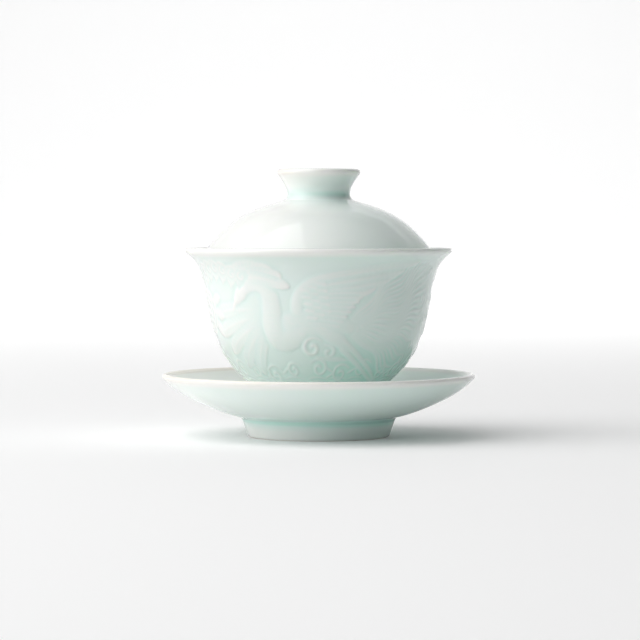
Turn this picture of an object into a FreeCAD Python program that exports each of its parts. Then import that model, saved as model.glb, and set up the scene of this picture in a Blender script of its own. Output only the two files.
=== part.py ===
"""Covered tea bowl on a saucer (gaiwan): three turned porcelain pieces.

Each piece is a PartDesign body turned from one section of its clay wall, in a frame of
its own with +Z up. The saucer stands on the origin, the bowl stands in the saucer's well
and the lid hangs in the flare of the bowl's mouth. Lengths are in millimetres and slopes
in degrees from the horizontal.
"""
import FreeCAD, Part
import math
import os

import Sketcher

SIZES = {
    # saucer: a shallow dish on a tapered foot ring
    "saucer_rim_radius": 57.4,
    "saucer_rim_height": 23.1,
    "saucer_lip_radius": 1.0,
    "saucer_lip_slope": 47,
    "saucer_flare_length": 6.2,
    "saucer_wall": 2.5,
    "saucer_side_radius": 43.5,
    "saucer_side_height": 12.0,
    "saucer_heel_radius": 33.0,
    "saucer_heel_height": 7.9,
    "saucer_foot_radius": 25.9,
    "saucer_waist_radius": 28.4,
    "saucer_waist_height": 7.2,
    "saucer_waist_fillet": 1.2,
    "saucer_floor_radius": 25.0,
    "saucer_floor_height": 10.0,
    "saucer_well_radius": 21.0,
    "saucer_well_height": 9.2,
    "saucer_recess_radius": 23.2,
    "saucer_recess_depth": 6.4,
    # bowl: a bell with a flared mouth, on a low foot ring
    "bowl_rim_radius": 49.0,
    "bowl_rim_height": 60.2,
    "bowl_lip_radius": 1.15,
    "bowl_lip_slope": 36,
    "bowl_flare_length": 5.0,
    "bowl_wall": 2.3,
    "bowl_neck_radius": 42.1,
    "bowl_neck_height": 49.3,
    "bowl_side_radius": 40.1,
    "bowl_side_height": 36.9,
    "bowl_belly_radius": 37.3,
    "bowl_belly_height": 25.3,
    "bowl_hip_radius": 30.6,
    "bowl_hip_height": 14.2,
    "bowl_heel_radius": 22.8,
    "bowl_heel_height": 8.5,
    "bowl_foot_radius": 18.9,
    "bowl_waist_radius": 19.6,
    "bowl_waist_height": 5.0,
    "bowl_waist_fillet": 0.8,
    "bowl_floor_radius": 10.0,
    "bowl_floor_height": 7.0,
    "bowl_recess_radius": 16.3,
    "bowl_recess_depth": 3.6,
    # lid: a dome with a hollow trumpet knob, which is also its foot when it lies upside down
    "lid_rim_radius": 42.7,
    "lid_lip_radius": 1.0,
    "lid_lip_slope": 111,
    "lid_skirt_length": 4.3,
    "lid_wall": 2.2,
    "lid_shoulder_radius": 35.2,
    "lid_shoulder_height": 11.7,
    "lid_dome_radius": 27.3,
    "lid_dome_height": 18.0,
    "lid_crown_radius": 18.5,
    "lid_crown_height": 21.0,
    "lid_neck_radius": 11.9,
    "lid_neck_height": 22.7,
    "lid_neck_fillet": 1.6,
    "lid_ceiling_radius": 8.0,
    "lid_ceiling_height": 20.6,
    "lid_seat_depth": 5.3,
    "knob_rim_radius": 15.3,
    "knob_rim_height": 33.9,
    "knob_lip_radius": 1.2,
    "knob_lip_slope": 52,
    "knob_flare_length": 4.0,
    "knob_waist_radius": 10.6,
    "knob_waist_height": 25.8,
    "knob_wall": 2.4,
    "knob_cup_radius": 8.4,
    "knob_cup_height": 25.9,
    # rounding of the foot rings and the hollows under them
    "foot_edge_fillet": 0.6,
    "recess_draft": 0.6,
    "recess_fillet": 1.0,
    "well_fillet": 0.3,
}

# Sketcher's numbers for the sketch's axes and origin, and for the vertices of a piece
V_AXIS = -2
H_AXIS = -1
ORIGIN = (-1, 1)
START, END, CENTRE = 1, 2, 3
SPLINE_DEGREE = 3


def fill_sheet(doc):
    """Write the driving sizes to a sheet: name in column A, value with its alias in column B."""
    sheet = doc.addObject("Spreadsheet::Sheet", "Sizes")
    for row, (name, value) in enumerate(SIZES.items(), 1):
        sheet.set(f"A{row}", name)
        sheet.set(f"B{row}", str(value))
        sheet.setAlias(f"B{row}", name)
    doc.recompute()


def size(name):
    return f"Sizes.{name}"


def point(name):
    """The outline point whose radius and height are cells of the sheet."""
    return (size(f"{name}_radius"), size(f"{name}_height"))


def value_of(doc, expression):
    """The number that an expression on the sheet's cells gives."""
    result = doc.getObject("Sizes").evalExpression(expression)
    return float(getattr(result, "Value", result))


def slope_of(start, end):
    """Expression for the slope of the straight line between two points."""
    return f"atan2({end[1]} - ({start[1]}); {end[0]} - ({start[0]}))"


def shifted(place, along, across, slope):
    """A point moved along a slope and across it, to the left of the way it climbs."""
    return (f"{place[0]} + ({along}) * cos({slope}) - ({across}) * sin({slope})",
            f"{place[1]} + ({along}) * sin({slope}) + ({across}) * cos({slope})")


def inner_points(outer, wall):
    """Points of the wall's other face: each point moved by the wall, square to its neighbours."""
    moved = []
    for before, here, after in zip(outer, outer[1:], outer[2:]):
        moved.append(shifted(here, "0", wall, slope_of(before, after)))
    return moved


def lip_of(piece, rim_radius, rim_height):
    """A rounded lip: its centre, radius and slope, and the two points where the wall meets it."""
    radius = size(f"{piece}_lip_radius")
    slope = size(f"{piece}_lip_slope")
    centre = (f"{rim_radius} - {radius}", rim_height)
    outside = shifted(centre, "0", f"-{radius}", slope)
    inside = shifted(centre, "0", radius, slope)
    return {"centre": centre, "radius": radius, "slope": slope,
            "outside": outside, "inside": inside}


class Section:
    """A closed sketch on the body's XZ plane, drawn piece after piece, bound to the sheet."""

    def __init__(self, body, name):
        self.doc = body.Document
        self.sketch = body.newObject("Sketcher::SketchObject", name)
        planes = [item for item in body.Origin.OriginFeatures if item.Role == "XZ_Plane"]
        self.sketch.AttachmentSupport = [(planes[0], "")]
        self.sketch.MapMode = "FlatFace"
        self.first = None
        self.last = None
        self.open_start = False

    def value(self, expression):
        return value_of(self.doc, expression)

    def vector(self, place):
        return FreeCAD.Vector(self.value(place[0]), self.value(place[1]), 0)

    def pin(self, geometry, vertex, place):
        """Hold one vertex at its place: on an axis where that is zero, else by a bound size."""
        for kind, axis, expression in (("DistanceX", V_AXIS, place[0]),
                                       ("DistanceY", H_AXIS, place[1])):
            if expression == "0":
                self.sketch.addConstraint(
                    Sketcher.Constraint("PointOnObject", geometry, vertex, axis))
                continue
            held = self.sketch.addConstraint(Sketcher.Constraint(
                kind, *ORIGIN, geometry, vertex, self.value(expression)))
            self.sketch.setExpression(f"Constraints[{held}]", expression)

    def join(self, geometry):
        """Tie the new piece's start to the end of the piece before it."""
        if self.last is None:
            self.first = geometry
        else:
            self.sketch.addConstraint(
                Sketcher.Constraint("Coincident", self.last, END, geometry, START))
        self.last = geometry

    def line(self, start, end):
        """A straight run; its end is held by whatever is drawn next."""
        segment = Part.LineSegment(self.vector(start), self.vector(end))
        geometry = self.sketch.addGeometry(segment, False)
        self.join(geometry)
        self.pin(geometry, START, start)

    def curve(self, places):
        """A smooth curve led by control points; the last one is held by what is drawn next."""
        poles = [self.vector(place) for place in places]
        spans = len(poles) - SPLINE_DEGREE
        multiplicities = [SPLINE_DEGREE + 1] + [1] * (spans - 1) + [SPLINE_DEGREE + 1]
        spline = Part.BSplineCurve()
        spline.buildFromPolesMultsKnots(
            poles, multiplicities, list(range(spans + 1)), False, SPLINE_DEGREE)
        geometry = self.sketch.addGeometry(spline, False)
        self.join(geometry)
        first_pole = self.sketch.GeometryCount
        self.sketch.exposeInternalGeometry(geometry)
        begin = 1 if self.open_start else 0
        for index in range(begin, len(places) - 1):
            self.pin(first_pole + index, CENTRE, places[index])
        self.open_start = False

    def lip(self, lip, start):
        """A half-round lip from one face of the wall to the other, turning anticlockwise."""
        centre = self.vector(lip["centre"])
        first = self.vector(start) - centre
        angle = math.atan2(first.y, first.x)
        circle = Part.Circle(centre, FreeCAD.Vector(0, 0, 1), self.value(lip["radius"]))
        arc = Part.ArcOfCircle(circle, angle, angle + math.pi)
        geometry = self.sketch.addGeometry(arc, False)
        self.join(geometry)
        self.pin(geometry, START, start)
        self.pin(geometry, CENTRE, lip["centre"])
        self.sketch.addConstraint(Sketcher.Constraint("Angle", geometry, math.pi))
        self.open_start = True

    def close(self, start, end):
        """The last straight run, back to where the outline began."""
        self.line(start, end)
        self.sketch.addConstraint(
            Sketcher.Constraint("Coincident", self.last, END, self.first, START))
        return self.sketch


def new_body(doc, name):
    body = doc.addObject("PartDesign::Body", name)
    body.Label = name
    return body


def turn(body, kind, name, sketch):
    """Revolve a section about the vertical axis, adding clay or cutting it away."""
    body.Document.recompute()
    before = body.Shape.Volume if kind == "Groove" else 0.0
    feature = body.newObject(f"PartDesign::{kind}", name)
    feature.Profile = sketch
    feature.ReferenceAxis = (sketch, ["V_Axis"])
    feature.Angle = 360
    body.Document.recompute()
    change = body.Shape.Volume - before
    wanted = -1 if kind == "Groove" else 1
    if change * wanted <= 0:
        raise RuntimeError(f"{body.Label}.{name} changes the volume the wrong way")


def soften(body, name, radius, edges):
    """Fillet the circular edges that lie nearest to the given outline points."""
    body.Document.recompute()
    base = body.Tip
    chosen = []
    for place in edges:
        wanted = [value_of(body.Document, expression) for expression in place]
        found = None
        for index, edge in enumerate(base.Shape.Edges, 1):
            if edge.Degenerated or not isinstance(edge.Curve, Part.Circle):
                continue
            centre = edge.Curve.Center
            gap = math.hypot(edge.Curve.Radius - wanted[0], centre.z - wanted[1])
            if found is None or gap < found[0]:
                found = (gap, f"Edge{index}")
        chosen.append(found[1])
    fillet = body.newObject("PartDesign::Fillet", name)
    fillet.Base = (base, chosen)
    fillet.setExpression("Radius", size(radius))
    body.Document.recompute()


def foot_recess(body, piece):
    """The hollow under the foot ring, a little wider at its mouth's inner edge."""
    mouth = size(f"{piece}_recess_radius")
    depth = size(f"{piece}_recess_depth")
    roof = f"{mouth} - {size('recess_draft')}"
    section = Section(body, "recess_section")
    section.line(("0", "0"), (mouth, "0"))
    section.line((mouth, "0"), (roof, depth))
    section.line((roof, depth), ("0", depth))
    sketch = section.close(("0", depth), ("0", "0"))
    turn(body, "Groove", "recess", sketch)
    soften(body, "recess_corner", "recess_fillet", [(roof, depth)])
    foot = size(f"{piece}_foot_radius")
    soften(body, "foot_edges", "foot_edge_fillet", [(mouth, "0"), (foot, "0")])


def vessel_section(body, piece, sides):
    """Wall of a dish or bowl: foot, outside, lip, inside, floor and the axis."""
    lip = lip_of(piece, size(f"{piece}_rim_radius"),
                   f"{size(f'{piece}_rim_height')} - {size(f'{piece}_lip_radius')}")
    flare = shifted(lip["outside"], f"-{size(f'{piece}_flare_length')}", "0", lip["slope"])
    inner_flare = shifted(lip["inside"], f"-{size(f'{piece}_flare_length')}", "0", lip["slope"])
    foot = (size(f"{piece}_foot_radius"), "0")
    waist = point(f"{piece}_waist")
    outer = [waist] + [point(f"{piece}_{side}") for side in sides] + [flare, lip["outside"]]
    inner = inner_points(outer[:-1], size(f"{piece}_wall"))
    floor_edge = point(f"{piece}_floor")
    floor_bend = (f"({floor_edge[0]} + {inner[0][0]}) / 2", floor_edge[1])
    floor_middle = ("0", floor_edge[1])

    section = Section(body, "wall_section")
    section.line(("0", "0"), foot)
    section.line(foot, waist)
    section.curve(outer)
    section.lip(lip, lip["outside"])
    section.curve([lip["inside"], inner_flare] + inner[::-1] + [floor_bend, floor_edge])
    section.line(floor_edge, floor_middle)
    return section.close(floor_middle, ("0", "0"))


def make_saucer(doc):
    body = new_body(doc, "saucer")
    turn(body, "Revolution", "wall", vessel_section(body, "saucer", ["heel", "side"]))
    soften(body, "waist", "saucer_waist_fillet", [point("saucer_waist")])

    radius = size("saucer_well_radius")
    floor = size("saucer_well_height")
    top = size("saucer_floor_height")
    section = Section(body, "well_section")
    section.line(("0", floor), (radius, floor))
    section.line((radius, floor), (radius, top))
    section.line((radius, top), ("0", top))
    turn(body, "Groove", "well", section.close(("0", top), ("0", floor)))
    soften(body, "well_edges", "well_fillet", [(radius, floor), (radius, top)])
    foot_recess(body, "saucer")
    return body


def make_bowl(doc):
    body = new_body(doc, "bowl")
    sides = ["heel", "hip", "belly", "side", "neck"]
    turn(body, "Revolution", "wall", vessel_section(body, "bowl", sides))
    soften(body, "waist", "bowl_waist_fillet", [point("bowl_waist")])
    foot_recess(body, "bowl")
    body.setExpression("Placement.Base.z", size("saucer_well_height"))
    return body


def make_lid(doc):
    body = new_body(doc, "lid")
    rim = lip_of("lid", size("lid_rim_radius"), size("lid_lip_radius"))
    skirt_length = size("lid_skirt_length")
    skirt = shifted(rim["outside"], skirt_length, "0", rim["slope"])
    inner_skirt = shifted(rim["inside"], skirt_length, "0", rim["slope"])
    dome = [rim["outside"], skirt, point("lid_shoulder"), point("lid_dome"),
            point("lid_crown"), point("lid_neck")]
    inner = inner_points(dome[1:], size("lid_wall"))
    ceiling_edge = point("lid_ceiling")
    ceiling = ("0", ceiling_edge[1])

    knob = lip_of("knob", size("knob_rim_radius"),
                    f"{size('knob_rim_height')} - {size('knob_lip_radius')}")
    flare_length = size("knob_flare_length")
    knob_flare = shifted(knob["outside"], f"-{flare_length}", "0", knob["slope"])
    inner_flare = shifted(knob["inside"], f"-{flare_length}", "0", knob["slope"])
    cup_edge = point("knob_cup")
    cup_bend = (f"{cup_edge[0]} / 2", cup_edge[1])
    cup_floor = ("0", cup_edge[1])

    section = Section(body, "wall_section")
    section.curve([ceiling, ceiling_edge] + inner[::-1] + [inner_skirt, rim["inside"]])
    section.lip(rim, rim["inside"])
    section.curve(dome)
    section.curve([point("lid_neck"), point("knob_waist"), knob_flare, knob["outside"]])
    section.lip(knob, knob["outside"])
    section.curve([knob["inside"], inner_flare, cup_edge, cup_bend, cup_floor])
    turn(body, "Revolution", "wall", section.close(cup_floor, ceiling))
    soften(body, "neck", "lid_neck_fillet", [point("lid_neck")])
    seat = f"{size('saucer_well_height')} + {size('bowl_rim_height')} - {size('lid_seat_depth')}"
    body.setExpression("Placement.Base.z", seat)
    return body


def check(doc, bodies):
    """Stop if any object failed to build or any piece isn't one valid solid."""
    for item in doc.Objects:
        if {"Invalid", "Error"} & set(item.State):
            raise RuntimeError(f"{item.Label} failed: {item.State}")
    for body in bodies:
        shape = body.Shape
        if shape.isNull() or not shape.isValid() or len(shape.Solids) != 1:
            raise RuntimeError(f"{body.Label} is not one valid solid")


def export(bodies):
    os.makedirs("parts", exist_ok=True)
    for body in bodies:
        body.Shape.exportStep(f"parts/{body.Label}.step")
        box = body.Shape.BoundBox
        print(f"{body.Label}: radius {box.XMax:.2f}, z {box.ZMin:.2f} to {box.ZMax:.2f},"
              f" volume {body.Shape.Volume / 1000:.1f} ml")


def main():
    doc = FreeCAD.newDocument("gaiwan")
    fill_sheet(doc)
    bodies = [make_saucer(doc), make_bowl(doc), make_lid(doc)]
    doc.recompute()
    check(doc, bodies)
    export(bodies)


main()
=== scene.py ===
"""Looks of the gaiwan: glazed porcelain with a moulded bird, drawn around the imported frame.

Sections are in millimetres, each in its own piece's frame, and become metres in the meshes.
"""
import math

import bpy
import numpy as np
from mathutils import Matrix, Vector


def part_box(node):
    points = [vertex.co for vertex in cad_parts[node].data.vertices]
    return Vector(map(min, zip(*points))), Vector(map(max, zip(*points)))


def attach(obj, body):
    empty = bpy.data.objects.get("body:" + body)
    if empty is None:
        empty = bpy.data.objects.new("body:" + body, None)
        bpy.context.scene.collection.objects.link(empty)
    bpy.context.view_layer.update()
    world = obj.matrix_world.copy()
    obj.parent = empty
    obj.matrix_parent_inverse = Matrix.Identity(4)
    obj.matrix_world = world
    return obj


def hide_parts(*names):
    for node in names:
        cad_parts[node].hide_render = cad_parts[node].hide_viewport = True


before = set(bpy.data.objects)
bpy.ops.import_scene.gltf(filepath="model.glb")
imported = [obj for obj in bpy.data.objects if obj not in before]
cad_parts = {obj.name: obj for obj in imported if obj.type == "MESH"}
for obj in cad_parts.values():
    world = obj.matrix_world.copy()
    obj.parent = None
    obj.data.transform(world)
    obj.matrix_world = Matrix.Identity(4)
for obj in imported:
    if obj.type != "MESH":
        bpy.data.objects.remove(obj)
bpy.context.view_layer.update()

MM = 0.001
FULL_TURN = 2 * math.pi
SMOOTH_COLUMNS = 150
RELIEF_COLUMNS = 600
SMOOTH_SPACING = 0.75   # distances between mesh rows along a section, in millimetres
FOOT_SPACING = 0.7
RELIEF_SPACING = 0.44
INSIDE_SPACING = 1.5


# ---------------------------------------------------------------- outlines

def spline(points, count=400):
    """Points along a clamped uniform cubic B-spline with the given control points."""
    poles = np.array(points, float)
    spans = len(poles) - 3
    knots = np.concatenate([[0] * 3, np.arange(spans + 1), [spans] * 3]).astype(float)
    where = np.linspace(0, spans, count)
    span = np.minimum(where.astype(int), spans - 1) + 3
    layer = [poles[span - 3 + k] for k in range(4)]
    for level in range(1, 4):
        for k in range(3, level - 1, -1):
            low = knots[span - 3 + k]
            high = knots[span + 1 + k - level]
            share = ((where - low) / (high - low))[:, None]
            layer[k] = (1 - share) * layer[k - 1] + share * layer[k]
    return layer[3]


def direction(slope):
    """Unit vectors along a slope in degrees, and square to it on its left."""
    angle = math.radians(slope)
    along = np.array([math.cos(angle), math.sin(angle)])
    return along, np.array([-along[1], along[0]])


class Lip:
    """A half-round lip of the wall, given by its widest radius and its top."""

    def __init__(self, centre, radius, slope, flare):
        along, left = direction(slope)
        self.centre = np.array(centre, float)
        self.radius = radius
        self.outside = self.centre - radius * left
        self.inside = self.centre + radius * left
        self.outer_flare = self.outside - flare * along
        self.inner_flare = self.inside - flare * along

    def arc(self, start, count=13):
        """The half circle that turns anticlockwise from one of the lip's ends."""
        first = math.atan2(*(start - self.centre)[::-1])
        angles = np.linspace(first, first + math.pi, count)
        return self.centre + self.radius * np.stack([np.cos(angles), np.sin(angles)], 1)


def moved_in(outer, wall):
    """Inner control points: each outer one moved by the wall, square to its neighbours."""
    moved = []
    for before, here, after in zip(outer, outer[1:], outer[2:]):
        chord = np.subtract(after, before)
        left = np.array([-chord[1], chord[0]]) / np.hypot(*chord)
        moved.append(np.array(here) + wall * left)
    return moved


def length_along(line):
    steps = np.hypot(*np.diff(line, axis=0).T)
    return np.concatenate([[0], np.cumsum(steps)])


def respaced(line, spacing):
    """The same line with points at an even spacing."""
    line = np.array(line, float)
    along = length_along(line)
    count = max(2, int(round(along[-1] / spacing)) + 1)
    even = np.linspace(0, along[-1], count)
    return np.stack([np.interp(even, along, line[:, k]) for k in (0, 1)], 1)


def blended(first, second, reach):
    """Two lines that share a corner, joined with a soft bend that starts a reach away from it."""
    first, second = respaced(first, 0.05), respaced(second, 0.05)
    skip = max(1, int(reach / 0.05))
    start, corner, end = first[-1 - skip], second[0], second[skip]
    share = np.linspace(0, 1, 9)[1:-1, None]
    bend = (1 - share) ** 2 * start + 2 * share * (1 - share) * corner + share ** 2 * end
    return np.concatenate([first[:-skip], bend, second[skip:]])


def polyline(*lines):
    """Lines laid end to end, without the points that they share."""
    joined = [np.array(lines[0], float)]
    for line in lines[1:]:
        joined.append(np.array(line, float)[1:])
    return np.concatenate(joined)


def foot_outline(mouth, depth, foot_radius, waist):
    """Underside of a footed piece: recess, foot ring and the foot's outer wall."""
    roof = mouth - 0.6
    recess = blended([(0, depth), (roof, depth)], [(roof, depth), (mouth, 0)], 1.0)
    ring = blended(recess, [(mouth, 0), (foot_radius, 0)], 0.5)
    return blended(ring, [(foot_radius, 0), waist], 0.5)


class Vessel:
    """Section of a saucer or bowl: outline of the foot, outside, lip and inside."""

    def __init__(self, sides, waist, lip, wall, floor, foot, waist_reach):
        outer_poles = [waist] + sides + [lip.outer_flare]
        inner_poles = moved_in(outer_poles, wall)
        bend = ((floor[0] + inner_poles[0][0]) / 2, floor[1])
        self.under = foot_outline(*foot, waist)
        self.outside = spline(outer_poles + [lip.outside])
        self.under = blended(self.under, self.outside, waist_reach)
        self.lip = lip.arc(lip.outside)
        self.inside = spline([lip.inside, lip.inner_flare] + inner_poles[::-1] + [bend, floor])


def saucer_section():
    rim_radius, rim_height, lip_radius = 57.4, 23.1, 1.0
    well_radius, well_height, floor = 21.0, 9.2, (25.0, 10.0)
    lip = Lip((rim_radius - lip_radius, rim_height - lip_radius), lip_radius, 47, 6.2)
    dish = Vessel([(33.0, 7.9), (43.5, 12.0)], (28.4, 7.2), lip, 2.5, floor,
                  (23.2, 6.4, 25.9), 1.6)
    rim_of_well = (well_radius, floor[1])
    step = blended(polyline(dish.inside, [floor, rim_of_well]),
                   [rim_of_well, (well_radius, well_height)], 0.3)
    well = blended(step, [(well_radius, well_height), (0, well_height)], 0.3)
    return polyline(dish.under, dish.lip, well)


def bowl_section():
    """The bowl's outline in three stretches: under, the wall that carries the relief, the rest."""
    rim_radius, rim_height, lip_radius = 49.0, 60.2, 1.15
    lip = Lip((rim_radius - lip_radius, rim_height - lip_radius), lip_radius, 36, 5.0)
    sides = [(22.8, 8.5), (30.6, 14.2), (37.3, 25.3), (40.1, 36.9), (42.1, 49.3)]
    bowl = Vessel(sides, (19.6, 5.0), lip, 2.3, (10.0, 7.0), (16.3, 3.6, 18.9), 0.9)
    outside = bowl.under
    last = np.argmax(outside[:, 1] > RELIEF_TOP)
    first = np.argmax((outside[:, 1] > RELIEF_FOOT) & (outside[:, 0] > 19.6))
    top = polyline(outside[last:], bowl.lip, bowl.inside, [bowl.inside[-1], (0, 7.0)])
    return outside[:first + 1], outside[first:last + 1], top


def lid_section():
    lip_radius, rim_radius = 1.0, 42.7
    rim = Lip((rim_radius - lip_radius, lip_radius), lip_radius, 111, -4.3)
    dome = [rim.outside, rim.outer_flare, (35.2, 11.7), (27.3, 18.0), (18.5, 21.0), (11.9, 22.7)]
    ceiling = 20.6
    inner = moved_in(dome[1:], 2.2)
    knob_lip, knob_rim, knob_top = 1.2, 15.3, 33.9
    knob = Lip((knob_rim - knob_lip, knob_top - knob_lip), knob_lip, 52, 4.0)
    cup_radius, cup_floor = 8.4, 25.9
    under = spline([(0, ceiling), (8.0, ceiling)] + inner[::-1] + [rim.inner_flare, rim.inside])
    stem = spline([(11.9, 22.7), (10.6, 25.8), knob.outer_flare, knob.outside])
    cup = spline([knob.inside, knob.inner_flare, (cup_radius, cup_floor),
                  (cup_radius / 2, cup_floor), (0, cup_floor)])
    outside = blended(spline(dome), stem, 1.6)
    return polyline(under, rim.arc(rim.inside), outside, knob.arc(knob.outside), cup)


# ---------------------------------------------------------------- relief on the bowl

RELIEF_FOOT = 7.0       # heights above the bowl's foot between which the wall carries relief
RELIEF_TOP = 56.5
RELIEF_FADE = 2.0       # the relief dies away over this at both ends
RELIEF_HEIGHT = 0.55    # the drawn heights are pressed down to this share
GLAZE_ROUNDING = 0.25   # widths that the glaze rounds the relief to, and levels itself over
GLAZE_LEVELLING = 1.1
CHART_RADIUS = 38.0     # the chart is the wall unrolled at this radius
CHART_TURN = FULL_TURN * CHART_RADIUS


def soft(value):
    """Smooth step from 0 to 1."""
    share = np.clip(value, 0, 1)
    return share * share * (3 - 2 * share)


def smooth_line(points, spacing=0.6):
    """A smooth curve led by a few points, finely divided."""
    points = [np.array(point, float) for point in points]
    while len(points) < 4:
        middle = [(a + b) / 2 for a, b in zip(points, points[1:])]
        points = [points[0]] + middle + [points[-1]]
    return respaced(spline(points, 200), spacing)


class Relief:
    """Height of the decoration in millimetres over a chart of the wall.

    Across the chart runs the distance around from the front, to the viewer's right, and up
    it the height above the bowl's foot.
    """

    def __init__(self, around, up):
        self.around = around
        self.up = up
        self.height = np.zeros((len(up), len(around)))

    def near(self, line, reach):
        """Cells within reach of a line: their index, offset to its left, and place along it."""
        low, high = line.min(0) - reach, line.max(0) + reach
        middle = (low[0] + high[0]) / 2
        offset = (self.around - middle + CHART_TURN / 2) % CHART_TURN - CHART_TURN / 2
        columns = np.nonzero(np.abs(offset) <= (high[0] - low[0]) / 2)[0]
        rows = np.nonzero((self.up >= low[1]) & (self.up <= high[1]))[0]
        cells = np.ix_(rows, columns)
        x, y = np.meshgrid(offset[columns] + middle, self.up[rows])
        nearest = np.full(x.shape, np.inf)
        side = np.zeros(x.shape)
        along = np.zeros(x.shape)
        travelled = length_along(line)
        for start, end, begun in zip(line, line[1:], travelled):
            run = end - start
            size = np.hypot(*run)
            run = run / size
            dx, dy = x - start[0], y - start[1]
            place = np.clip(dx * run[0] + dy * run[1], 0, size)
            gap = np.hypot(dx - place * run[0], dy - place * run[1])
            closer = gap < nearest
            nearest[closer] = gap[closer]
            left = run[0] * dy - run[1] * dx
            side[closer] = np.where(left[closer] < 0, -gap[closer], gap[closer])
            along[closer] = begun + place[closer]
        return cells, side, along / travelled[-1], travelled[-1]

    def body(self, points, widths, height, merge=0.12):
        """A round-backed form whose width runs through the given ones, melted into the rest."""
        line = smooth_line(points)
        cells, side, share, _ = self.near(line, max(widths) * 0.6)
        half = np.interp(share, np.linspace(0, 1, len(widths)), widths) / 2
        across = np.clip(np.abs(side) / half, 0, 1)
        bump = height * np.sqrt(1 - across ** 2) * (half / max(widths) * 2) ** 0.35
        under = self.height[cells]
        melt = np.clip(0.5 + 0.5 * (bump - under) / merge, 0, 1)
        self.height[cells] = under + melt * (bump - under) + merge * melt * (1 - melt) * (bump > 0)

    def ridge(self, points, width, height, ends=(0.5, 0.2), add=False):
        """A raised stroke that narrows at its ends to the given shares of its width."""
        line = smooth_line(points)
        cells, side, share, _ = self.near(line, width)
        taper = np.minimum(ends[0] + (1 - ends[0]) * soft(share / 0.3),
                           ends[1] + (1 - ends[1]) * soft((1 - share) / 0.45))
        across = np.clip(np.abs(side) / (width / 2 * taper), 0, 1)
        bump = height * (0.5 + 0.5 * np.cos(math.pi * across)) * (0.4 + 0.6 * taper)
        if add:
            self.height[cells] += bump
        else:
            self.height[cells] = np.maximum(self.height[cells], bump)

    def feather(self, points, width, height, pitch=1.3, barb=0.07, tilt=0.0, sunk_root=0.0):
        """A vane laid over what is there: raised shaft, sloping barbs and a rounded tip."""
        line = smooth_line(points)
        cells, side, share, total = self.near(line, width)
        half = width / 2 * np.sqrt(np.clip(share / 0.25, 0.08, 1))
        half = half * np.sqrt(np.clip(1 - np.clip((share - 0.72) / 0.28, 0, 1) ** 2, 0, 1))
        across = np.abs(side) / np.maximum(half, 0.01)
        cover = soft((1 - across) * half / 0.35) * soft(share / max(sunk_root, 0.001))
        vane = height * (0.62 + 0.38 * np.sqrt(np.clip(1 - across ** 2, 0, 1)))
        vane += 0.12 * np.exp(-(side / 0.4) ** 2) + 0.07 * soft((share - 0.5) / 0.5)
        vane += tilt * np.clip(side / np.maximum(half, 0.01), -1, 1)
        barbs = np.sin(FULL_TURN * (share * total - 0.8 * np.abs(side)) / pitch)
        vane += barb * barbs * np.clip(across * 3, 0, 1)
        self.height[cells] += cover * (vane - self.height[cells])

    def petal(self, points, width, height):
        """A cupped petal laid over what is there, its edge rolled up and lightly scalloped."""
        line = smooth_line(points)
        cells, side, share, _ = self.near(line, width)
        half = width / 2 * np.sqrt(np.clip(share / 0.6, 0.05, 1))
        half = half * np.sqrt(np.clip(1 - np.clip((share - 0.7) / 0.3, 0, 1) ** 2, 0, 1))
        half = half * (1 + 0.07 * np.cos(side * 4.2 / width * FULL_TURN))
        across = np.clip(np.abs(side) / np.maximum(half, 0.01), 0, 1.2)
        edge = np.maximum(across, np.clip((share - 0.55) / 0.45, 0, 1))
        cover = soft((1 - across) * half / 0.4)
        dish = height * (0.55 + 0.45 * edge ** 3) + 0.04 * np.cos(side * 7.0)
        self.height[cells] += cover * (dish - self.height[cells])

    def curl(self, centre, radius, turns=1.4, width=1.1, height=0.32, start=0.0, hand=1):
        """A spiral ridge that winds inwards from the given angle in degrees."""
        share = np.linspace(0, 1, 14)
        angle = math.radians(start) + hand * share * turns * FULL_TURN
        reach = radius * (1 - 0.82 * share)
        line = np.stack([centre[0] + reach * np.cos(angle),
                         centre[1] + reach * np.sin(angle)], 1)
        self.ridge(line, width, height, ends=(0.5, 0.9))

    def hook(self, line, radius, width, height, hand=1):
        """A curl that carries on from the end of a line, turning to its left or its right."""
        run = np.subtract(line[-1], line[-2])
        inward = hand * np.array([-run[1], run[0]]) / np.hypot(*run)
        start = math.degrees(math.atan2(-inward[1], -inward[0]))
        self.curl(np.array(line[-1]) + radius * inward, radius, turns=1.1, width=width,
                  height=height, start=start, hand=hand)

    def softened(self, sigma):
        """The relief as glaze leaves it: blurred by a Gaussian of the given width."""
        blurred = self.height.copy()
        steps = (abs(self.up[-1] - self.up[0]) / (len(self.up) - 1),
                 CHART_TURN / len(self.around))
        for axis, step in enumerate(steps):
            reach = max(1, int(3 * sigma / step))
            weights = np.exp(-0.5 * (np.arange(-reach, reach + 1) * step / sigma) ** 2)
            weights /= weights.sum()
            mode = "wrap" if axis else "edge"
            pad = [(0, 0), (0, 0)]
            pad[axis] = (reach, reach)
            padded = np.pad(blurred, pad, mode=mode)
            count = blurred.shape[axis]
            blurred = sum(weight * np.take(padded, range(k, k + count), axis)
                          for k, weight in enumerate(weights))
        return blurred


def placed(origin, points):
    """Points of a motif moved to its origin on the chart."""
    return [(origin + x, y) for x, y in points]


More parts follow.
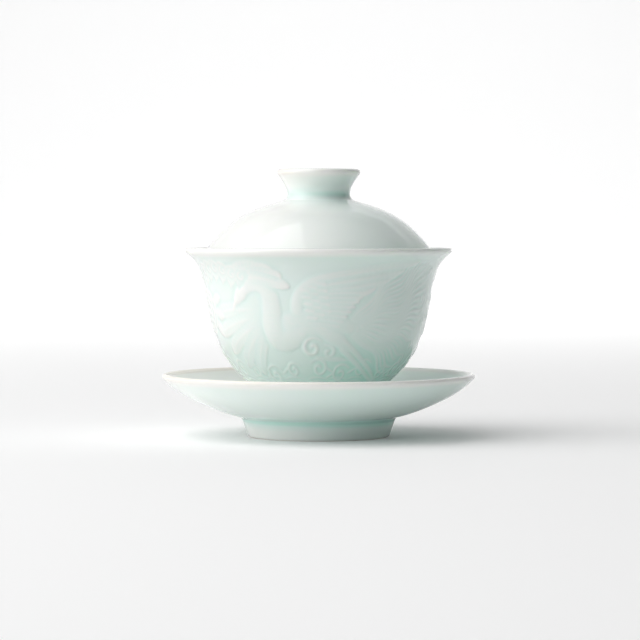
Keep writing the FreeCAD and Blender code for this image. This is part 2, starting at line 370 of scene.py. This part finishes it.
def draw_tail(relief, origin, rng):
    """Plumes that stream from the bird's back in a wide fan and wave together like flames."""
    for index in range(28):
        lean = math.radians(50 - 3.3 * index)
        reach = 36 + 6 * math.sin(0.25 * index - 0.8) + rng.uniform(-3.5, 3.5)
        away = np.linspace(13.5 if index % 2 else 4.0, reach, 18)
        swing = 1.5 * np.sin(away / 2.9 + 0.32 * index) * np.clip(away / 20, 0, 1)
        angle = lean + swing / away + 0.10 * (away / 30) ** 2
        path = np.stack([origin + 9.0 + away * np.cos(angle), 31.5 + away * np.sin(angle)], 1)
        relief.ridge(path, 1.7, rng.uniform(0.52, 0.68), ends=(0.4, 0.25))
        if index % 3 == 1:
            relief.hook(path, 1.7, 1.2, 0.5, hand=1 if index < 14 else -1)


def draw_legs(relief, origin):
    """Two legs trailing under the plumes, with their toes together."""
    for lift in (0.0, 2.8):
        leg = [(9, 27.3 - lift), (14, 22.8 - lift), (21, 17.4 - lift), (29, 12.9 - lift / 3)]
        relief.body(placed(origin, leg), (2.5, 2.1, 1.7, 1.4), 0.66)
        for toe in (-2.2, 0.4):
            claw = [(27, 13.9 - lift / 3), (30, 12.3 + toe), (33, 11.4 + toe)]
            relief.ridge(placed(origin, claw), 1.2, 0.45)
    thigh = [(1, 32.5), (5, 29.5), (11, 24.6)]
    relief.body(placed(origin, thigh), (6.5, 6.0, 3.2), 0.7)


def draw_wing(relief, origin):
    """The raised wing: long quills behind, barbed vanes below them, scales at the shoulder."""
    for index in range(5):
        tip = (35 - 5.2 * index, 55.3 - 3.1 * index)
        path = [(-3 + 0.4 * index, 48.0 - 1.8 * index), (tip[0] * 0.35, tip[1] - 2.9 - 0.3 * index),
                (tip[0] * 0.7, tip[1] - 1.8), tip]
        relief.feather(placed(origin, path), 3.6, 0.44 + 0.04 * index, pitch=2.0, barb=0.04,
                       tilt=-0.16)
    for index in range(8):
        share = index / 7
        tip = (16.5 - 9.0 * share, 44.5 - 12.0 * share)
        base = (-4.5 + share, 43.0 - 9.0 * share)
        path = [base, (base[0] + 6, base[1] + 1.8 - 2.0 * share), tip]
        relief.feather(placed(origin, path), 2.6, 0.56, pitch=1.6, barb=0.04, tilt=-0.15)
    for ring in range(3):
        for index in range(5):
            x = -6.0 + 2.3 * ring + 0.5 * index
            y = 45.5 + 1.2 * ring - 2.4 * index
            path = [(x, y), (x + 1.8, y + 0.2), (x + 3.8, y - 0.5)]
            relief.feather(placed(origin, path), 2.8, 0.66 - 0.03 * ring, pitch=9, barb=0,
                           tilt=-0.08)
    shoulder = [(-7.0, 37.5), (-7.3, 41.5), (-5.0, 46.5), (1, 50.3), (9.5, 52.2)]
    relief.body(placed(origin, shoulder), (4.6, 5.0, 4.0, 2.4, 1.2), 0.64)


def draw_body(relief, origin):
    """Breast, arched neck and head, smooth and high, with rows of small soft scales."""
    trunk = [(-9.0, 33.0), (-3, 35.0), (4, 34.5), (11, 32.0)]
    relief.body(placed(origin, trunk), (9.5, 11.0, 8.8, 4.5), 0.62)
    neck = [(-5.0, 32.0), (-11.5, 26.5), (-15.8, 27.5), (-16.4, 36), (-15.8, 43.5),
            (-19.5, 48.0), (-25.0, 47.2), (-28.0, 43.5)]
    relief.body(placed(origin, neck), (6.0, 9.0, 8.8, 7.8, 6.8, 6.0, 5.2, 4.4), 0.72)
    relief.body(placed(origin, [(-26.8, 45.2), (-28.4, 43.2), (-29.8, 41.6)]), (4.6, 5.2, 3.6),
                0.82)
    relief.body(placed(origin, [(-29.4, 42.0), (-31.8, 40.2), (-32.6, 37.6)]), (2.6, 1.8, 0.8),
                0.7)
    relief.curl((origin - 28.3, 43.4), 0.9, turns=1.0, width=0.6, height=1.0)
    for row in range(6):
        for column in range(6):
            x = -10.5 + 3.2 * column + 1.6 * (row % 2)
            y = 39.0 - 1.8 * row
            scale = [(x - 1.3, y + 0.7), (x - 0.5, y - 0.6), (x + 0.5, y - 0.6), (x + 1.3, y + 0.7)]
            on_trunk = (x + 1) ** 2 / 110 + (y - 33.8) ** 2 / 24 < 1
            if on_trunk:
                relief.ridge(placed(origin, scale), 0.8, 0.08, ends=(0.6, 0.6), add=True)
    for row in range(11):
        y = 27.5 + 1.6 * row
        x = -16.0 + 0.5 * math.cos(row * 0.7)
        nick = [(x - 2.3, y + 0.6), (x, y - 0.7), (x + 2.3, y + 0.6)]
        relief.ridge(placed(origin, nick), 0.8, 0.07, add=True)


def draw_crest(relief, origin):
    """Plumes that sweep back over the neck, and scalloped clouds before the head."""
    tips = ((-18.5, 53.6), (-14.5, 52.4), (-11.6, 50.0), (-9.4, 46.4))
    for index, tip in enumerate(tips):
        path = [(-34.0 + 2.2 * index, 48.4), (-28.5 + 2.2 * index, 52.8 - 0.3 * index),
                (tip[0] - 4.8, tip[1] + 1.7), tip]
        relief.feather(placed(origin, path), 4.8, 0.38 + 0.07 * index, pitch=1.5, barb=0.05,
                       tilt=-0.10, sunk_root=0.3)
    for index in range(6):
        x = -48.0 + 4.0 * index
        y = 50.4 + 1.4 * math.sin(index * 0.9)
        relief.petal(placed(origin, [(x, y - 3.4), (x + 0.9, y), (x + 2.6, y + 4.2)]), 6.0, 0.42)
        relief.curl((origin + x + 1.6, y + 1.0), 1.9, start=60, turns=1.1, height=0.62, width=1.1)
    for side in (-1, 1):
        wattle = [(-30.5, 41.0), (-31.0 + side, 38.6), (-29.4 + side, 36.8)]
        relief.ridge(placed(origin, wattle), 1.3, 0.4)


def draw_far_wing(relief, origin):
    """The far wing, folded low behind the neck, in broad vanes."""
    tips = ((-44.5, 36), (-43.5, 28.5), (-39.5, 22.0), (-33.5, 17.0), (-26.5, 14.5))
    for index, tip in enumerate(tips):
        base = (-20.0 + 0.3 * index, 38.0 - 2.0 * index)
        path = [base, ((base[0] + tip[0]) / 2 - 1.5, (base[1] + tip[1]) / 2 + 2.2), tip]
        relief.feather(placed(origin, path), 5.8, 0.24 + 0.03 * index, pitch=1.7, barb=0.05,
                       tilt=0.07, sunk_root=0.4)


def draw_cloud(relief, centre, size=1.0, hand=1):
    """A small hooked cloud: one large curl, two lobes and a tail."""
    x, y = centre
    tail = [(x + hand * 1.0 * size, y - 2.6 * size), (x + hand * 5.5 * size, y - 3.9 * size),
            (x + hand * 10 * size, y - 2.6 * size), (x + hand * 13 * size, y - 4.2 * size)]
    relief.ridge(tail, 1.9 * size, 0.46)
    relief.curl((x, y), 3.4 * size, turns=1.2, start=40, hand=hand, width=1.9 * size, height=0.6)
    relief.curl((x + hand * 4.8 * size, y - 1.2 * size), 2.2 * size, turns=1.1, start=120,
                hand=-hand, width=1.5 * size, height=0.5)


def draw_waves(relief, rng):
    """Curling waves in a band around the foot of the wall."""
    count = 24
    pitch = CHART_TURN / count
    for index in range(count):
        x = index * pitch + rng.uniform(-0.8, 0.8)
        y = 15.6 + rng.uniform(-1.3, 2.2)
        size = rng.uniform(0.95, 1.5)
        hand = 1 if index % 3 else -1
        for row in range(4):
            crest = [(x - 6, 8.4 + 1.4 * row), (x - 3.0, 10.6 + 1.4 * row),
                     (x + 1.5, 10.2 + 1.4 * row), (x + 5.5, 8.2 + 1.4 * row)]
            relief.ridge(crest, 1.1, 0.34, ends=(0.2, 0.2))
        relief.curl((x, y), 2.9 * size, start=90 - 60 * hand, hand=hand, turns=1.3, width=1.4,
                    height=0.5)
        tail = [(x - hand * 2.6, y + 0.8), (x - hand * 4.6, y - 1.4), (x - hand * 7.2, y - 1.9)]
        relief.ridge(tail, 1.3, 0.42, ends=(0.8, 0.1))


def draw_blossom(relief, centre, size=1.0):
    """An open flower of three rings of petals around a dome, with leaves below."""
    x, y = centre
    for side in (-1, 1):
        for lean in (-38, -8, 22):
            angle = math.radians(lean)
            reach = 15.5 * size
            tip = (x + side * reach * math.cos(angle), y + reach * math.sin(angle))
            middle = ((x + tip[0]) / 2, (y + tip[1]) / 2 + 2.2)
            relief.feather([(x + side * 4, y), middle, tip], 4.6 * size, 0.40, pitch=2.0, barb=0.05)
    for ring, (reach, petals, width) in enumerate(((9.6, 8, 8.4), (7.0, 6, 7.6), (4.4, 5, 5.4))):
        for index in range(petals):
            angle = FULL_TURN * (index + 0.5 * ring) / petals + 0.3
            tip = (x + reach * size * math.cos(angle), y + reach * size * math.sin(angle))
            middle = (x + 0.6 * (tip[0] - x), y + 0.6 * (tip[1] - y))
            relief.petal([(x, y), middle, tip], width * size, 0.62 + 0.15 * ring)
    relief.body([(x - 0.8, y), (x + 0.8, y)], (3.2 * size, 3.2 * size), 1.05)


def draw_relief(around, up):
    """The whole decoration: a bird at the front and one at the back, flowers between them."""
    rng = np.random.default_rng(7)
    relief = Relief(around, up)
    draw_waves(relief, rng)
    for origin in (0.0, CHART_TURN / 2):
        side = origin + CHART_TURN / 4 + 7
        draw_cloud(relief, (side - 4, 51.0), 0.8, -1)
        draw_cloud(relief, (side - 6, 22), 0.9, 1)
        draw_blossom(relief, (side, 37), 0.9)
        draw_far_wing(relief, origin)
        draw_tail(relief, origin, rng)
        draw_legs(relief, origin)
        draw_body(relief, origin)
        draw_crest(relief, origin)
        draw_wing(relief, origin)
        draw_cloud(relief, (origin - 2.2, 24.8), 1.25, 1)
    return relief


# ---------------------------------------------------------------- meshes

PAINTED_SIDE_SHADE = 0.10            # painted side shade: the glaze colour is made deeper and darker towards +X, the side away from the key light, by this, and paler towards the lit side
GLAZE_EDGE = 0.05       # shares of glaze below this are bare clay
DEEPEST_HOLLOW = 0.16   # millimetres of relief beyond which glaze pools no deeper

class Lathe:
    """A closed mesh turned from stretches of outline, each with its own number of columns."""

    def __init__(self):
        self.places = []
        self.faces = []
        self.glaze = []
        self.ring = None
        self.count = 0

    def add_ring(self, places, glaze):
        start = self.count
        self.places.append(places)
        self.glaze.append(glaze)
        self.count += len(places)
        ring = np.arange(start, self.count)
        if self.ring is not None:
            self.stitch(self.ring, ring)
        self.ring = ring

    def stitch(self, low, high):
        """Faces between two rings; where the counts differ, the finer ring fans to the other."""
        if len(low) == len(high) and len(low) > 1:
            after = np.roll(low, -1), np.roll(high, -1)
            self.faces += np.stack([low, after[0], after[1], high], 1).tolist()
            return
        flip = len(low) > len(high)
        coarse, fine = (high, low) if flip else (low, high)
        ratio = len(fine) // len(coarse)
        for index, here in enumerate(coarse):
            there = coarse[(index + 1) % len(coarse)]
            part = [fine[(index * ratio + k) % len(fine)] for k in range(ratio + 1)]
            half = ratio // 2
            corners = [(here, part[k + 1], part[k]) for k in range(half)]
            corners += [(there, part[k + 1], part[k]) for k in range(half, ratio)]
            if len(coarse) > 1:
                corners.append((here, there, part[half]))
            for face in corners:
                self.faces.append([int(v) for v in (face[::-1] if flip else face)])

    def add(self, line, columns, glaze, relief=None):
        """Turn one stretch. Glaze is a share per point, or per point and column."""
        tangent = np.gradient(line, axis=0)
        tangent /= np.hypot(*tangent.T)[:, None] + 1e-12
        normal = np.stack([tangent[:, 1], -tangent[:, 0]], 1)
        for row, (radius, height) in enumerate(line):
            if radius < 1e-6:
                self.add_ring(np.array([[0.0, 0.0, height]]), np.array([np.mean(glaze[row])]))
                continue
            turn = -math.pi / 2 + FULL_TURN * np.arange(columns) / columns
            lift = np.zeros(columns) if relief is None else relief[row]
            reach = radius + lift * normal[row, 0]
            places = np.stack([reach * np.cos(turn), reach * np.sin(turn),
                               height + lift * normal[row, 1]], 1)
            # painted side shade: glaze colour made deeper towards +X, away from the key light, and
            # paler towards -X, where the light falls
            side_shade = PAINTED_SIDE_SHADE * np.cos(turn) * (glaze[row] > GLAZE_EDGE)
            self.add_ring(places, glaze[row] + side_shade)

    def build(self, name, base, material):
        places = np.concatenate(self.places)
        places[:, 2] += base
        mesh = bpy.data.meshes.new(name)
        mesh.from_pydata((places * MM).tolist(), [], self.faces)
        mesh.polygons.foreach_set("use_smooth", [True] * len(mesh.polygons))
        # the glaze attribute holds glaze thickness plus the painted side shade added in Lathe.add
        layer = mesh.attributes.new("glaze", "FLOAT", "POINT")
        layer.data.foreach_set("value", np.concatenate(self.glaze))
        mesh.validate()
        mesh.update()
        mesh.materials.append(material)
        piece = bpy.data.objects.new(name, mesh)
        bpy.context.scene.collection.objects.link(piece)
        return piece


def bump_at(line, place, spread):
    """1 at a place on the section, falling away over a spread."""
    gap = np.hypot(line[:, 0] - place[0], line[:, 1] - place[1])
    return np.exp(-0.5 * (gap / spread) ** 2)


# ---------------------------------------------------------------- materials

def node(tree, kind, **settings):
    made = tree.nodes.new(kind)
    for key, value in settings.items():
        setattr(made, key, value)
    return made


def noise(tree, coordinates, scale, detail=2.0, roughness=0.5):
    made = node(tree, "ShaderNodeTexNoise")
    made.inputs["Scale"].default_value = scale
    made.inputs["Detail"].default_value = detail
    made.inputs["Roughness"].default_value = roughness
    tree.links.new(coordinates, made.inputs["Vector"])
    return made.outputs["Fac"]


def maths(tree, operation, first, second):
    made = node(tree, "ShaderNodeMath", operation=operation)
    for socket, value in zip(made.inputs, (first, second)):
        if isinstance(value, (int, float)):
            socket.default_value = value
        else:
            tree.links.new(value, socket)
    return made.outputs["Value"]


def ramp(tree, value, stops):
    made = node(tree, "ShaderNodeValToRGB")
    made.color_ramp.interpolation = "EASE"
    elements = made.color_ramp.elements
    while len(elements) < len(stops):
        elements.new(0.5)
    for element, (position, color) in zip(elements, stops):
        element.position = position
        element.color = (*color, 1)
    tree.links.new(value, made.inputs["Fac"])
    return made.outputs["Color"]


BARE, THIN, MIDDLE, THICK, POOL = 0.0, 0.18, 0.45, 0.72, 1.0


def glazed_porcelain():
    """White body under a clear green glaze that is paler where thin and deep where it pools."""
    material = bpy.data.materials.new("celadon_glaze")
    material.use_nodes = True
    tree = material.node_tree
    tree.nodes.clear()
    output = node(tree, "ShaderNodeOutputMaterial")
    shader = node(tree, "ShaderNodeBsdfPrincipled")
    tree.links.new(shader.outputs["BSDF"], output.inputs["Surface"])
    place = node(tree, "ShaderNodeTexCoord").outputs["Object"]
    # glaze share per point, with the painted side shade (deeper towards +X, paler towards the lit
    # -X side) already added
    glaze = node(tree, "ShaderNodeAttribute", attribute_name="glaze").outputs["Fac"]

    drift = noise(tree, place, 38.0, 3.0)
    cloud = noise(tree, place, 1400.0, 2.0)
    uneven = maths(tree, "MULTIPLY", maths(tree, "SUBTRACT", drift, 0.5), 0.10)
    speckle = maths(tree, "MULTIPLY", maths(tree, "SUBTRACT", cloud, 0.5), 0.035)
    depth = maths(tree, "ADD", maths(tree, "ADD", glaze, uneven), speckle)
    color = ramp(tree, depth, [
        (BARE, (0.83, 0.79, 0.73)),
        (0.10, (0.86, 0.83, 0.78)),
        (THIN, (0.885, 0.888, 0.86)),
        (MIDDLE, (0.755, 0.87, 0.83)),
        (THICK, (0.59, 0.86, 0.78)),
        (POOL, (0.24, 0.50, 0.46)),
    ])
    tree.links.new(color, shader.inputs["Base Color"])

    unglazed = ramp(tree, glaze, [(0.0, (0.55, 0.55, 0.55)), (0.05, (0.5, 0.5, 0.5)),
                                  (0.09, (0.07, 0.07, 0.07))])
    tree.links.new(unglazed, shader.inputs["Roughness"])
    shader.inputs["IOR"].default_value = 1.5
    shader.inputs["Subsurface Weight"].default_value = 0.25
    shader.inputs["Subsurface Radius"].default_value = (1.0, 1.1, 0.9)
    shader.inputs["Subsurface Scale"].default_value = 0.0015
    shader.inputs["Coat Weight"].default_value = 0.3
    shader.inputs["Coat Roughness"].default_value = 0.04

    ripple = noise(tree, place, 260.0, 2.0)
    swell = noise(tree, place, 55.0, 1.0)
    surface = maths(tree, "ADD", maths(tree, "MULTIPLY", ripple, 0.25), swell)
    bump = node(tree, "ShaderNodeBump")
    bump.inputs["Strength"].default_value = 0.06
    bump.inputs["Distance"].default_value = 0.001
    tree.links.new(surface, bump.inputs["Height"])
    tree.links.new(bump.outputs["Normal"], shader.inputs["Normal"])
    return material


# ---------------------------------------------------------------- pieces

def floor_of(name):
    """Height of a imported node's lowest point, in millimetres."""
    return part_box(name)[0].z / MM


def lip_thinning(line, centre, spread=0.85):
    """How much thinner the glaze is near a lip's centre."""
    return 0.30 * bump_at(line, centre, spread)


def bare_foot(line, inner, outer):
    """True on the flat of the foot ring, where the glaze is wiped off."""
    ring_top = 0.35
    return (line[:, 1] < ring_top) & (line[:, 0] > inner) & (line[:, 0] < outer)


def make_saucer(material):
    """The saucer: glaze pools above the foot and in the corner of the well."""
    line = respaced(saucer_section(), SMOOTH_SPACING)
    radius, height = line.T
    waist, well_corner, lip = (28.0, 6.6), (21.0, 9.3), (56.4, 22.1)
    over_the_rim = np.arange(len(line)) > np.argmax(radius)
    glaze = np.where(over_the_rim, 0.31, 0.40)
    glaze += 0.05 * soft((16 - height) / 12)
    glaze += 0.30 * bump_at(line, waist, 0.9) + 0.06 * bump_at(line, (28.5, 6.5), 3.0)
    glaze += 0.3 * bump_at(line, well_corner, 0.9)
    glaze -= lip_thinning(line, lip, 1.1) + 0.12 * soft((6 - height) / 3)
    glaze[bare_foot(line, 23.3, 25.8)] = 0.0
    lathe = Lathe()
    lathe.add(line, SMOOTH_COLUMNS, glaze)
    return lathe.build("saucer_glazed", floor_of("saucer"), material)


def make_bowl(material):
    """The bowl: glaze is thin on high relief and deep in its hollows and towards the foot."""
    foot, wall, top = bowl_section()
    foot, wall = respaced(foot, FOOT_SPACING), respaced(wall, RELIEF_SPACING)
    top = respaced(top, INSIDE_SPACING)
    around = CHART_TURN * np.arange(RELIEF_COLUMNS) / RELIEF_COLUMNS
    around = (around + CHART_TURN / 2) % CHART_TURN - CHART_TURN / 2
    relief = draw_relief(around, wall[:, 1])
    fade = soft((wall[:, 1] - RELIEF_FOOT) / RELIEF_FADE)
    fade = (fade * soft((RELIEF_TOP - wall[:, 1]) / RELIEF_FADE))[:, None]
    raised = relief.softened(GLAZE_ROUNDING) * fade
    hollow = relief.softened(GLAZE_LEVELLING) * fade - raised
    hollow = DEEPEST_HOLLOW * np.tanh(hollow / DEEPEST_HOLLOW)

    waist, lip = (19.8, 5.4), (47.85, 59.05)
    glaze_foot = 0.5 + 0.4 * bump_at(foot, waist, 1.0)
    glaze_foot[bare_foot(foot, 16.4, 18.8)] = 0.0
    sunk = 0.41 + 0.14 * soft((32 - wall[:, 1]) / 22)
    glaze_wall = sunk[:, None] + 0.62 * hollow - 0.05 * raised
    glaze_top = 0.43 - lip_thinning(top, lip, 1.25)
    lathe = Lathe()
    lathe.add(foot[:-1], SMOOTH_COLUMNS, glaze_foot[:-1])
    lathe.add(wall, RELIEF_COLUMNS, glaze_wall, RELIEF_HEIGHT * raised)
    lathe.add(top[1:], SMOOTH_COLUMNS, glaze_top[1:])
    return lathe.build("bowl_moulded", floor_of("bowl"), material)


def make_lid(material):
    """The lid: glaze pools around the knob's stem and in its cup."""
    line = respaced(lid_section(), SMOOTH_SPACING)
    stem, cup, knob_lip, rim = (11.6, 24.6), (6.5, 26.0), (14.1, 32.7), (41.7, 1.0)
    glaze = np.full(len(line), 0.30)
    glaze += 0.20 * bump_at(line, stem, 1.1) + 0.05 * bump_at(line, (12.0, 25.0), 4.0)
    glaze -= lip_thinning(line, knob_lip) + lip_thinning(line, rim)
    glaze += 0.3 * bump_at(line, cup, 2.5)
    lathe = Lathe()
    lathe.add(line, SMOOTH_COLUMNS, glaze)
    return lathe.build("lid_glazed", floor_of("lid"), material)


# ---------------------------------------------------------------- stage, light, camera

def make_stage():
    """A pale seamless sweep under and behind the object."""
    depth, width, rise, radius = 3.0, 6.0, 3.0, 1.2
    angles = np.linspace(0, math.pi / 2, 17)
    curve = [(-depth, 0.0)]
    curve += [(depth - radius + radius * math.sin(a), radius * (1 - math.cos(a))) for a in angles]
    curve.append((depth, rise))
    points, faces = [], []
    for y, z in curve:
        points += [(-width, y, z), (width, y, z)]
    for index in range(len(curve) - 1):
        start = 2 * index
        faces.append((start, start + 1, start + 3, start + 2))
    mesh = bpy.data.meshes.new("sweep")
    mesh.from_pydata(points, [], faces)
    mesh.polygons.foreach_set("use_smooth", [True] * len(mesh.polygons))
    material = bpy.data.materials.new("sweep_paper")
    material.use_nodes = True
    shader = material.node_tree.nodes["Principled BSDF"]
    shader.inputs["Base Color"].default_value = (0.93, 0.93, 0.93, 1)
    shader.inputs["Roughness"].default_value = 0.9
    shader.inputs["Specular IOR Level"].default_value = 0.1
    shader.inputs["Emission Color"].default_value = (1, 1, 1, 1)
    shader.inputs["Emission Strength"].default_value = 0.035
    mesh.materials.append(material)
    sweep = bpy.data.objects.new("sweep", mesh)
    bpy.context.scene.collection.objects.link(sweep)


def softbox(name, place, target, size, radiance):
    """A rectangular light of an even radiance, facing a target."""
    light = bpy.data.lights.new(name, "AREA")
    light.shape = "RECTANGLE"
    light.size, light.size_y = size
    light.energy = radiance * math.pi * size[0] * size[1]
    lamp = bpy.data.objects.new(name, light)
    lamp.location = place
    lamp.rotation_euler = (Vector(target) - Vector(place)).to_track_quat("-Z", "Y").to_euler()
    bpy.context.scene.collection.objects.link(lamp)


def make_light():
    """A light tent brightest over the left shoulder, with softboxes above, left and behind."""
    world = bpy.data.worlds.new("studio")
    bpy.context.scene.world = world
    world.use_nodes = True
    tree = world.node_tree
    toward = node(tree, "ShaderNodeTexCoord").outputs["Generated"]
    facing = node(tree, "ShaderNodeVectorMath", operation="DOT_PRODUCT")
    tree.links.new(toward, facing.inputs[0])
    facing.inputs[1].default_value = (-0.60, -0.25, 0.76)
    near = maths(tree, "POWER", maths(tree, "MAXIMUM", facing.outputs["Value"], 0.0), 2.0)
    brightest, dimmest = 1.22, 0.05
    glow = maths(tree, "ADD", maths(tree, "MULTIPLY", near, brightest), dimmest)
    tree.links.new(glow, tree.nodes["Background"].inputs["Strength"])
    tree.nodes["Background"].inputs["Color"].default_value = (1.0, 1.0, 1.0, 1)
    softbox("overhead", (-0.75, -0.45, 0.95), (-0.75, -0.45, 0), (1.2, 1.35), 1.26)
    softbox("left", (-1.35, -0.25, 0.55), (0, 0, 0.1), (1.3, 1.1), 0.88)
    softbox("low_left", (-1.15, -0.6, 0.22), (0, 0, 0.03), (0.9, 0.4), 1.4)
    softbox("backdrop", (0.0, 1.3, 1.5), (0, 2.9, 0.2), (1.6, 1.4), 2.0)
    softbox("floor_behind", (0.15, 0.95, 1.0), (0.15, 0.95, 0), (2.2, 0.7), 0.25)


def make_camera():
    """The photograph's viewpoint: just above the rim, level but for two degrees."""
    distance, height, drop = 0.99, 0.0757, 1.91
    camera = bpy.data.cameras.new("camera")
    camera.angle = math.radians(13.52)
    seat = bpy.data.objects.new("camera", camera)
    seat.location = (0.0005, -distance, height)
    seat.rotation_euler = (math.radians(90 - drop), 0, 0)
    bpy.context.scene.collection.objects.link(seat)
    bpy.context.scene.camera = seat


material = glazed_porcelain()
for body, make in (("saucer", make_saucer), ("bowl", make_bowl), ("lid", make_lid)):
    piece = make(material)
    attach(piece, body)
    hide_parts(body)
make_stage()
make_light()
make_camera()
bpy.context.scene.view_settings.view_transform = "Standard"
